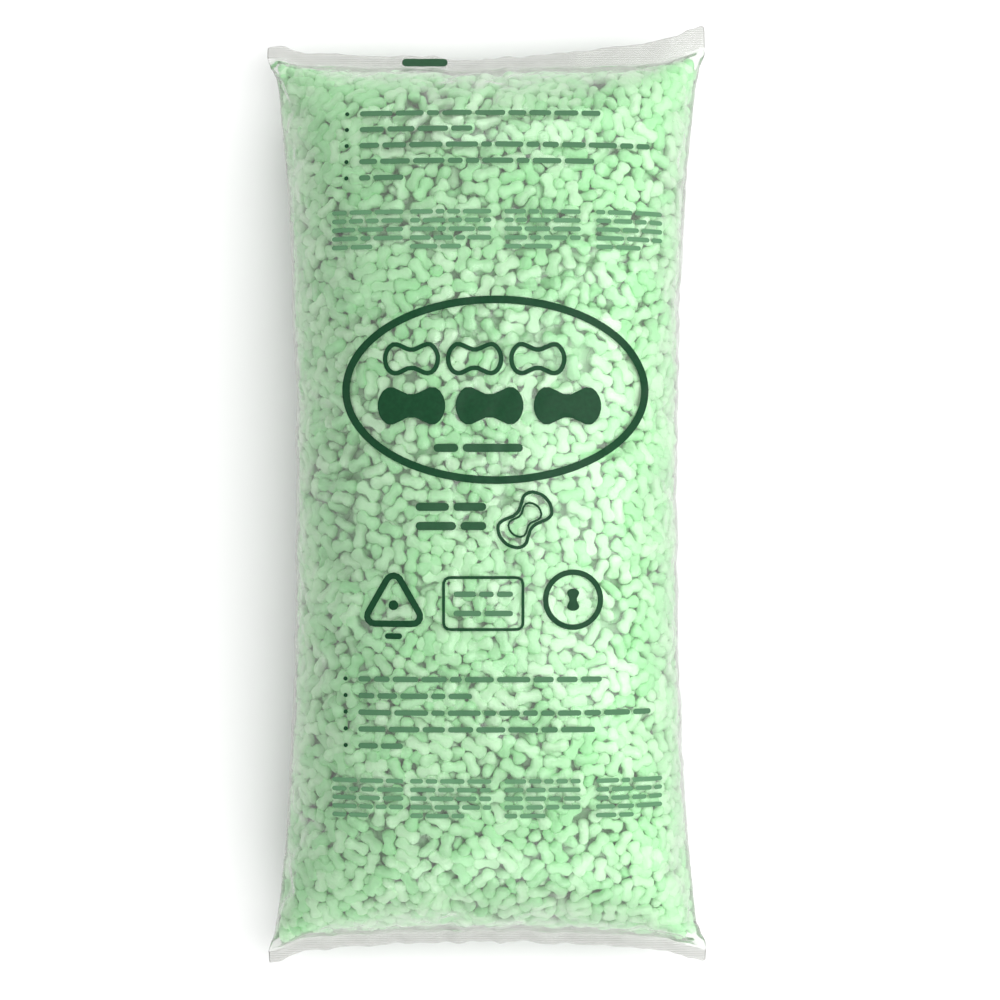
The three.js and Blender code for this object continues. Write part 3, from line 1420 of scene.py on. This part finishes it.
def ink_tree() -> bpy.types.GeometryNodeTree:
    """Builds the nodes that lay a flat print down on the film under it.

    Returns:
        A tree with the inputs Film, Lift and Finish.
    """
    inputs = {"Film": ("Object", None), "Lift": ("Float", 0.0005), "Finish": ("Material", None)}
    graph = start_tree("ink_on_film", inputs)
    given = graph.add("NodeGroupInput").outputs
    film = graph.add("GeometryNodeObjectInfo", {"Object": given["Film"]})
    ray = graph.add(
        "GeometryNodeRaycast",
        {
            "Target Geometry": film.outputs["Geometry"],
            "Ray Direction": (0.0, 0.0, -1.0),
            "Ray Length": 2.0,
        },
    )
    lifted = graph.add(
        "ShaderNodeVectorMath",
        {0: ray.outputs["Hit Normal"], "Scale": given["Lift"]},
        operation="SCALE",
    )
    place = graph.add(
        "ShaderNodeVectorMath",
        {0: ray.outputs["Hit Position"], 1: lifted.outputs[0]},
        operation="ADD",
    )
    laid = graph.add(
        "GeometryNodeSetPosition",
        {
            "Geometry": given["Geometry"],
            "Selection": ray.outputs["Is Hit"],
            "Position": place.outputs[0],
        },
    )
    return end_tree(graph, laid.outputs[0], given["Finish"])


class Weight(Enum):
    """How high the bars of a row are, and how well the ink covers the film there."""

    FINE = (0.0072, 0.0)
    PLAIN = (0.0086, 0.35)
    BOLD = (0.0128, 0.85)


class Plan:
    """A flat plan of print, as small four-sided patches seen from above."""

    patch: float = 0.006
    least_patches: int = 8
    bar_gap: float = 0.55
    least_bar: float = 1.8
    longest_bar: float = 6.5
    end_steps: tuple[float, ...] = (0, 0.15, 0.5, 1)
    blunt_end: float = 0.02

    def __init__(self, seed: int) -> None:
        """Starts an empty plan.

        Args:
            seed: The seed of the marks' rhythm.
        """
        self.points: list[tuple[float, float]] = []
        self.covers: list[float] = []
        self.faces: list[list[int]] = []
        self.cover = 1.0
        self.random = np.random.default_rng(seed)

    def strip(self, left: np.ndarray, right: np.ndarray) -> None:
        """Adds a strip between two lines of as many points.

        Args:
            left: The points down its left side.
            right: The points down its right side.
        """
        width = np.linalg.norm(np.subtract(left, right), axis=1).max()
        cells = max(1, math.ceil(width / self.patch))
        first = len(self.points)
        for a, b in zip(left, right):
            for k in range(cells + 1):
                share = k / cells
                self.points.append(tuple(np.multiply(a, 1 - share) + np.multiply(b, share)))
        wide = cells + 1
        self.covers += [self.cover] * (len(self.points) - first)
        for row in range(len(left) - 1):
            for k in range(cells):
                a = first + row * wide + k
                self.faces.append([a, a + 1, a + wide + 1, a + wide])

    def bar(self, left: float, middle: float, width: float, height: float) -> None:
        """Adds a level bar with round ends.

        Args:
            left: Its left end.
            middle: The height of its middle up the plan.
            width: Its width.
            height: Its height.
        """
        round_end = np.array(self.end_steps) * height / 2
        cells = max(1, math.ceil((width - height) / self.patch))
        straight = np.linspace(height / 2, width - height / 2, cells + 1)[1:-1]
        along = np.concatenate([round_end, straight, (width - round_end)[::-1]])
        inset = np.maximum(0, height / 2 - np.minimum(along, width - along))
        half = np.sqrt(np.maximum((height / 2) ** 2 - inset**2, 0)) + height * self.blunt_end
        low = np.column_stack([left + along, middle - half])
        high = np.column_stack([left + along, middle + half])
        self.strip(low, high)

    def band(self, line: np.ndarray, thickness: float) -> None:
        """Adds a band of even thickness along a closed line.

        Args:
            line: The points of the line, anticlockwise.
            thickness: The band's thickness.
        """
        line = np.asarray(line, float)
        gaps = np.linalg.norm(line - np.roll(line, -1, axis=0), axis=1)
        walked = np.concatenate([[0], np.cumsum(gaps)])
        count = max(self.least_patches, math.ceil(walked[-1] / self.patch))
        keys = np.linspace(0, walked[-1], count + 1)
        closed = np.vstack([line, line[:1]])
        even = np.stack([np.interp(keys, walked, closed[:, k]) for k in (0, 1)], 1)
        ahead = np.roll(even[:-1], -1, axis=0) - np.roll(even[:-1], 1, axis=0)
        ahead = unit(np.vstack([ahead, ahead[:1]]))
        side = np.column_stack([ahead[:, 1], -ahead[:, 0]]) * thickness / 2
        self.strip(even - side, even + side)

    def blob(self, line: np.ndarray) -> None:
        """Fills a closed line that is seen whole from its own middle.

        Args:
            line: The points of the line, anticlockwise.
        """
        line = np.asarray(line, float)
        middle = line.mean(0)
        closed = np.vstack([line, line[:1]])
        reach = np.linalg.norm(closed - middle, axis=1).max()
        rings = max(1, math.ceil(reach / self.patch))
        for ring in range(rings):
            inner = middle + (closed - middle) * ring / rings
            outer = middle + (closed - middle) * (ring + 1) / rings
            self.strip(inner, outer)

    def row(self, left: float, middle: float, length: float, weight: Weight) -> None:
        """Adds a row of plain bars, long and short.

        Args:
            left: Where the row starts.
            middle: The height of its middle up the plan.
            length: Its length.
            weight: How heavy it is.
        """
        height, self.cover = weight.value
        gap, least = height * self.bar_gap, height * self.least_bar
        along = 0.0
        while length - along > least:
            width = height * self.random.uniform(self.least_bar, self.longest_bar)
            if length - along - width < least + gap:
                width = length - along
            self.bar(left + along, middle, width, height)
            along += width + gap
        self.cover = 1.0

    def mesh(self, height: float) -> bpy.types.Mesh:
        """Makes the plan's mesh.

        Args:
            height: The height at which it lies over the floor.

        Returns:
            The flat mesh.
        """
        points = np.column_stack([self.points, np.full(len(self.points), height)])
        mesh = mesh_from("print_plan", points, self.faces)
        store_values(mesh, "cover", self.covers)
        sheet = bmesh.new()
        sheet.from_mesh(mesh)
        bmesh.ops.remove_doubles(sheet, verts=sheet.verts, dist=1e-5)
        for face in sheet.faces:
            if face.normal.z < 0:
                face.normal_flip()
        sheet.to_mesh(mesh)
        sheet.free()
        return mesh


def figure_eight(middle: tuple, length: float, turn: float = 0.0) -> np.ndarray:
    """Draws the outline of a chip.

    Args:
        middle: Its middle.
        length: Its length.
        turn: The angle that it is turned by.

    Returns:
        Its points, anticlockwise.
    """
    outline = ChipShape().outline(28) * length / ChipShape.length
    cosine, sine = math.cos(turn), math.sin(turn)
    return outline @ np.array([[cosine, sine], [-sine, cosine]]) + middle


def arc(centre: tuple, radius: float, angles: np.ndarray) -> list[tuple[float, float]]:
    """Draws part of a circle.

    Args:
        centre: Its centre.
        radius: Its radius.
        angles: The directions from the centre to its points.

    Returns:
        Its points.
    """
    x, y = centre
    return [(x + radius * math.cos(a), y + radius * math.sin(a)) for a in angles]


def rounded_box(middle: tuple, width: float, height: float, corner: float) -> np.ndarray:
    """Draws a rectangle with round corners.

    Args:
        middle: Its middle.
        width: Its width.
        height: Its height.
        corner: The radius of its corners.

    Returns:
        Its points, anticlockwise.
    """
    points = []
    for quarter, (x, y) in enumerate(((1, 1), (-1, 1), (-1, -1), (1, -1))):
        centre = (x * (width / 2 - corner), y * (height / 2 - corner))
        points += arc(centre, corner, np.linspace(quarter, quarter + 1, 7) * math.pi / 2)
    return np.array(points) + middle


def rounded_triangle(middle: tuple, width: float, corner: float) -> np.ndarray:
    """Draws an even-sided triangle with round corners, standing on a side.

    Args:
        middle: Its middle.
        width: The length of its base.
        corner: The radius of its corners.

    Returns:
        Its points, anticlockwise.
    """
    points = []
    reach = width / math.sqrt(3) - 2 * corner + corner * 2 / math.sqrt(3)
    for side in range(3):
        facing = math.pi / 2 + side * 2 * math.pi / 3
        centre = (reach * math.cos(facing), reach * math.sin(facing))
        points += arc(centre, corner, facing + np.linspace(-1, 1, 7) * math.pi / 3)
    return np.array(points) + middle


def ellipse(middle: tuple, width: float, height: float) -> np.ndarray:
    """Draws an ellipse.

    Args:
        middle: Its middle.
        width: Its width.
        height: Its height.

    Returns:
        Its points, anticlockwise.
    """
    angle = np.linspace(0, 2 * math.pi, 97)[:-1]
    return np.column_stack([np.cos(angle) * width / 2, np.sin(angle) * height / 2]) + middle


@dataclass(frozen=True)
class Notice:
    """A list of notes over four columns of finer ones, the columns all alike."""

    top: float
    line_ends: tuple[float, ...] = (0.187, -0.023, 0.268, 0.176, -0.135)
    line_left: float = -0.208
    line_pitch: float = 0.0272
    bullet: float = 0.007
    columns_drop: float = 0.166
    column_lefts: tuple[float, ...] = (-0.252, -0.124, 0.029, 0.178)
    column_ends: tuple[float, ...] = (-0.135, 0.008, 0.153, 0.288)
    column_lines: int = 5
    column_pitch: float = 0.0143
    last_line: tuple[float, float] = (0.5, 0.7)

    def draw(self, plan: Plan) -> None:
        """Draws the notice.

        Args:
            plan: The plan to draw on.
        """
        for line, end in enumerate(self.line_ends):
            level = self.top - line * self.line_pitch
            plan.row(self.line_left, level, end - self.line_left, Weight.PLAIN)
            plan.blob(ellipse((self.line_left - 3 * self.bullet, level), self.bullet, self.bullet))
        for left, end in zip(self.column_lefts, self.column_ends):
            for line in range(self.column_lines):
                level = self.top - self.columns_drop - line * self.column_pitch
                last = line == self.column_lines - 1
                short = plan.random.uniform(*self.last_line) if last else 1
                plan.row(left, level, (end - left) * short, Weight.FINE)


@dataclass(frozen=True)
class Oval:
    """An oval round a row of outlined chips, a row of filled ones and a row of bars."""

    middle: tuple[float, float] = (0.015, 0.178)
    width: float = 0.486
    height: float = 0.292
    line: float = 0.0125
    outlined_start: tuple[float, float] = (-0.034, 0.050)
    outlined_pitch: float = 0.102
    outlined_length: float = 0.086
    outlined_line: float = 0.0075
    filled_start: tuple[float, float] = (-0.010, -0.026)
    filled_pitch: float = 0.126
    filled_length: float = 0.110
    bars_start: tuple[float, float] = (-0.100, -0.094)
    bars_length: float = 0.144

    def draw(self, plan: Plan) -> None:
        """Draws the oval and what it holds.

        Args:
            plan: The plan to draw on.
        """
        x, y = self.middle
        plan.band(ellipse((x, y), self.width, self.height), self.line)
        aside, above = self.outlined_start
        for step in (-1, 0, 1):
            middle = (x + aside + step * self.outlined_pitch, y + above)
            plan.band(figure_eight(middle, self.outlined_length), self.outlined_line)
        aside, above = self.filled_start
        for step in (-1, 0, 1):
            middle = (x + aside + step * self.filled_pitch, y + above)
            plan.blob(figure_eight(middle, self.filled_length))
        aside, above = self.bars_start
        plan.row(x + aside, y + above, self.bars_length, Weight.BOLD)


@dataclass(frozen=True)
class ChipMark:
    """Two short bold rows with a tilted chip beside them, drawn as two outlines."""

    rows_left: float = -0.114
    rows_length: float = 0.114
    row_levels: tuple[float, ...] = (-0.011, -0.042)
    chip_middle: tuple[float, float] = (0.062, -0.032)
    chip_turn: float = math.radians(48)
    outer_length: float = 0.098
    outer_line: float = 0.0055
    inner_length: float = 0.060
    inner_line: float = 0.0035

    def draw(self, plan: Plan) -> None:
        """Draws the rows and the chip.

        Args:
            plan: The plan to draw on.
        """
        for level in self.row_levels:
            plan.row(self.rows_left, level, self.rows_length, Weight.BOLD)
        outer = figure_eight(self.chip_middle, self.outer_length, self.chip_turn)
        inner = figure_eight(self.chip_middle, self.inner_length, self.chip_turn)
        plan.band(outer, self.outer_line)
        plan.band(inner, self.inner_line)


@dataclass(frozen=True)
class Signs:
    """A triangle with a dot, a box with two rows, and a ring with a chip, side by side."""

    level: float = -0.162
    triangle_middle: tuple[float, float] = (-0.150, -0.008)
    triangle_width: float = 0.080
    triangle_corner: float = 0.012
    triangle_line: float = 0.0105
    dot: float = 0.016
    bar_drop: float = 0.058
    bar_width: float = 0.028
    bar_height: float = 0.009
    box_middle: tuple[float, float] = (-0.005, -0.005)
    box_width: float = 0.128
    box_height: float = 0.084
    box_corner: float = 0.010
    box_line: float = 0.0048
    box_row: float = 0.096
    box_row_levels: tuple[float, ...] = (0.015, -0.016)
    ring_middle: tuple[float, float] = (0.140, 0.001)
    ring_width: float = 0.089
    ring_line: float = 0.0088
    ring_chip: float = 0.036

    def draw(self, plan: Plan) -> None:
        """Draws the three signs.

        Args:
            plan: The plan to draw on.
        """
        x, y = self.triangle_middle[0], self.level + self.triangle_middle[1]
        triangle = rounded_triangle((x, y), self.triangle_width, self.triangle_corner)
        plan.band(triangle, self.triangle_line)
        plan.blob(ellipse((x, y), self.dot, self.dot))
        left = x - self.bar_width / 2
        plan.bar(left, self.level - self.bar_drop, self.bar_width, self.bar_height)

        x, y = self.box_middle[0], self.level + self.box_middle[1]
        box = rounded_box((x, y), self.box_width, self.box_height, self.box_corner)
        plan.band(box, self.box_line)
        for above in self.box_row_levels:
            plan.row(x - self.box_row / 2, y + above, self.box_row, Weight.PLAIN)

        middle = (self.ring_middle[0], self.level + self.ring_middle[1])
        plan.band(ellipse(middle, self.ring_width, self.ring_width), self.ring_line)
        plan.blob(figure_eight(middle, self.ring_chip, math.pi / 2))


@dataclass(frozen=True)
class WeldMark:
    """One short bold row on the top weld."""

    left: float = -0.1423
    level: float = 0.7335
    length: float = 0.0765

    def draw(self, plan: Plan) -> None:
        """Draws the row.

        Args:
            plan: The plan to draw on.
        """
        plan.row(self.left, self.level, self.length, Weight.BOLD)


Mark = Notice | Oval | ChipMark | Signs | WeldMark


@dataclass
class Print:
    """The green print on the printed face, drawn flat and then laid down on the film."""

    film: bpy.types.Object
    lift: float = 0.0005
    seed: int = 41
    marks: tuple[Mark, ...] = (
        Notice(top=0.634),
        Notice(top=-0.290),
        Oval(),
        ChipMark(),
        Signs(),
        WeldMark(),
    )
    over_bag: float = 0.6

    def build(self, finish: InkFinish) -> bpy.types.Object:
        """Prints the film.

        Args:
            finish: The ink's finish.

        Returns:
            The print.
        """
        plan = Plan(self.seed)
        for mark in self.marks:
            mark.draw(plan)
        obj = new_object("green_print", plan.mesh(self.over_bag))
        values = {"Film": self.film, "Lift": self.lift, "Finish": finish.material()}
        add_tree(obj, ink_tree(), values)
        settled(obj)
        obj.data.shade_smooth()
        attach(obj, BODY)
        return obj


# --------------------------------------------------------------------------------------
# The studio
# --------------------------------------------------------------------------------------


@dataclass(frozen=True)
class Softbox:
    """A soft light, its long side along the bag, that looks at the bag."""

    name: str
    place: tuple[float, float, float]
    width: float
    length: float
    watts: float


@dataclass
class Studio:
    """A pale floor, soft lights and a camera that looks straight down on the bag."""

    picture_height: float = 1.676
    aside: float = 0.022
    distance: float = 6.0
    rest_height: float = 0.12
    sky: float = 1.02
    paper: float = 0.70
    floor_reach: float = 9.0
    aim_height: float = 0.15
    lights: tuple[Softbox, ...] = (
        Softbox("key", (2.05, 0.0, 3.45), 2.6, 4.8, 154.0),
        Softbox("fill", (-2.8, 0.0, 1.5), 0.6, 4.6, 9.0),
        Softbox("foot", (0.5, -3.4, 2.2), 3.0, 1.6, 44.0),
        Softbox("head", (0.5, 3.4, 2.2), 3.0, 1.6, 44.0),
    )

    def build(self) -> None:
        """Makes the floor, the lights, the world and the camera."""
        scene = bpy.context.scene
        scene.view_settings.view_transform = "Standard"
        corners = np.array([[-1, -1, 0], [1, -1, 0], [1, 1, 0], [-1, 1, 0]]) * self.floor_reach
        floor = new_object("floor", mesh_from("floor", corners, [[0, 1, 2, 3]]))
        paper = bpy.data.materials.new("pale_floor")
        paper.use_nodes = True
        surface = paper.node_tree.nodes["Principled BSDF"]
        surface.inputs["Base Color"].default_value = (self.paper, self.paper, self.paper, 1)
        surface.inputs["Roughness"].default_value = 0.9
        floor.data.materials.append(paper)
        world = bpy.data.worlds.new("studio")
        world.use_nodes = True
        world.node_tree.nodes["Background"].inputs[0].default_value = (1, 1, 1, 1)
        world.node_tree.nodes["Background"].inputs[1].default_value = self.sky
        scene.world = world
        for light in self.lights:
            lamp = bpy.data.lights.new(light.name, "AREA")
            lamp.shape = "RECTANGLE"
            lamp.size = light.width
            lamp.size_y = light.length
            lamp.energy = light.watts
            holder = bpy.data.objects.new(light.name, lamp)
            holder.location = light.place
            aim = Vector((0, 0, self.aim_height)) - Vector(light.place)
            holder.rotation_euler = aim.to_track_quat("-Z", "Y").to_euler()
            scene.collection.objects.link(holder)
        camera = bpy.data.cameras.new("camera")
        camera.lens = camera.sensor_width * self.distance / self.picture_height
        camera.clip_end = 50
        holder = bpy.data.objects.new("camera", camera)
        holder.location = (self.aside, 0, self.distance + self.rest_height)
        scene.collection.objects.link(holder)
        scene.camera = holder


# --------------------------------------------------------------------------------------
# The whole bag
# --------------------------------------------------------------------------------------


def main() -> None:
    """Builds every piece in order and reports it."""
    logging.basicConfig(level=logging.INFO, format="%(name)s: %(message)s")
    Studio().build()
    low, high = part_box("film_bag")
    form = PillowForm(length=high.y - low.y, end_width=high.x - low.x)
    film = FilmBag(form)
    skin = film.build()
    LOG.info("film: %d faces", len(skin.data.polygons))
    film.dress(skin, FilmFinish())
    peanuts = Peanuts(film)
    for piece in peanuts.build(FoamFinish()):
        LOG.info("%s: %d faces", piece.name, len(piece.data.polygons))
    film.cling(skin, peanuts.lobes)
    ink = Print(skin).build(InkFinish())
    LOG.info("%s: %d faces", ink.name, len(ink.data.polygons))


if __name__ == "__main__":
    main()
